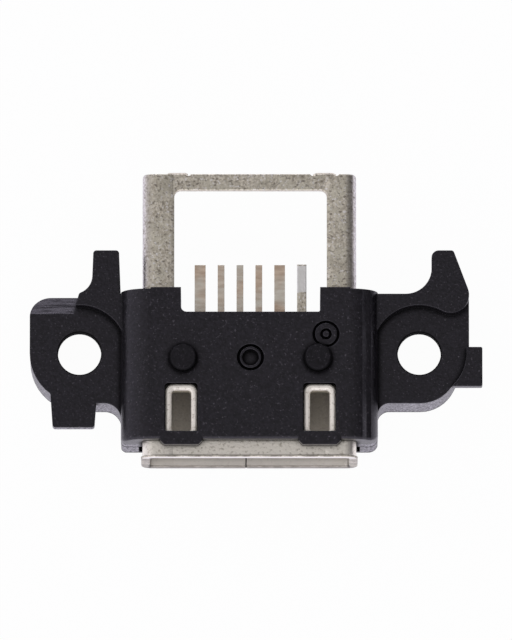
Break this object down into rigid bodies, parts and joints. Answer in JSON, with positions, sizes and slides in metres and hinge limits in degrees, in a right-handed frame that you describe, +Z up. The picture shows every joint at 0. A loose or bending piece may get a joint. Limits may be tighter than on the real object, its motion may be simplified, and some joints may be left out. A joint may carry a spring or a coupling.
{
  "type": "micro usb socket",
  "caption": "Micro USB charging socket: a folded metal shell with a contact tongue, moulded into a black bracket with screw ears, its solder tails standing in an open rear frame.",
  "frame": {"origin": "on the underside of the bracket, midway between the two screw holes", "axes": "+X across the socket, with the lobed ear on the +X side; +Y back from the mouth, towards the rear frame; +Z up, out of the face with the latch windows and pegs"},
  "size_m": [0.0157, 0.0101, 0.0033],
  "materials": {
    "plated_shell": "dull nickel plating with fine grain",
    "contact_alloy": "dull tinned copper alloy",
    "carrier_plastic": "matte black moulding",
    "bracket_plastic": "fine eroded texture, charcoal black"
  },
  "bodies": {
    "root": {"shell": "plated_shell", "carrier": "carrier_plastic", "power_contact": "contact_alloy", "data_minus_contact": "contact_alloy", "data_plus_contact": "contact_alloy", "identity_contact": "contact_alloy", "ground_contact": "contact_alloy", "bracket": "bracket_plastic"}
  },
  "joints": []
}
